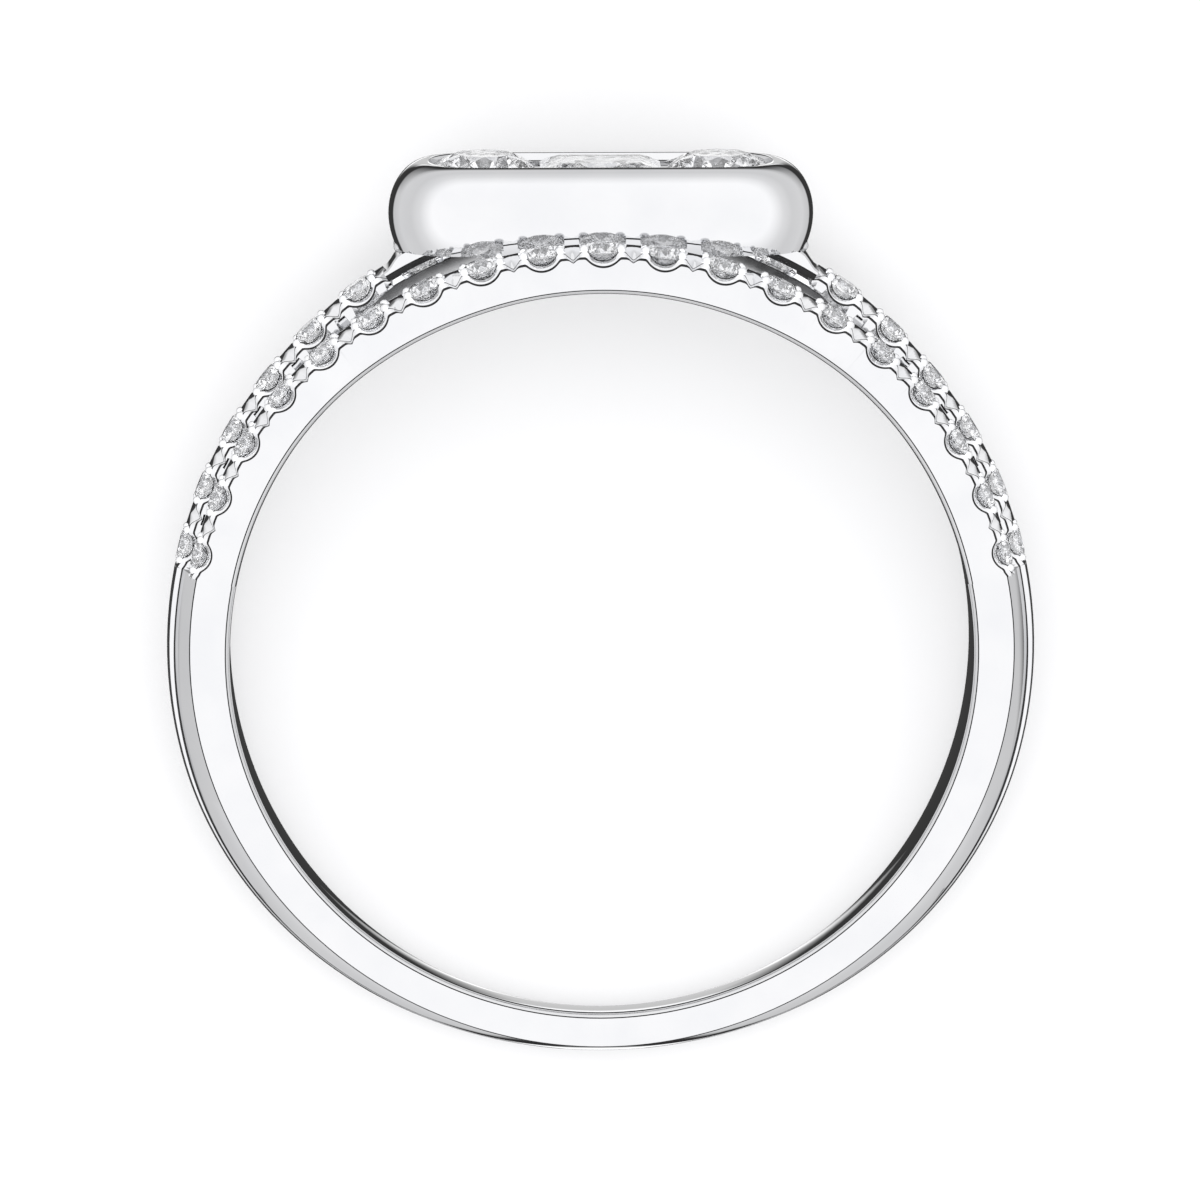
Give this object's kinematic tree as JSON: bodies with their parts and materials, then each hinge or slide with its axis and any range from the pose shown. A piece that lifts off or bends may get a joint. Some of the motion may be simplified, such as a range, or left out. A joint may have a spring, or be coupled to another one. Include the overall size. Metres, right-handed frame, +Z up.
{
  "type": "baguette diamond ring",
  "caption": "Finger ring with a raised oval bezel holding a step-cut stone between round stones, on a split shank with pave rows and a plain tapering foot.",
  "frame": {"origin": "centre of the ring's box, at the surface that it lies on", "axes": "+Y from the foot of the shank towards the head, +Z up from the surface and near the finger's axis, +X to the right with the head away from the viewer"},
  "size_m": [0.0202, 0.0212, 0.0056],
  "materials": {
    "white_gold": "mirror-polished white gold",
    "diamond": "clear, faceted and polished"
  },
  "bodies": {
    "root": {"shank_and_bezel": "white_gold", "round_stone_left": "diamond", "round_stone_right": "diamond", "baguette_stone": "diamond"}
  },
  "joints": []
}
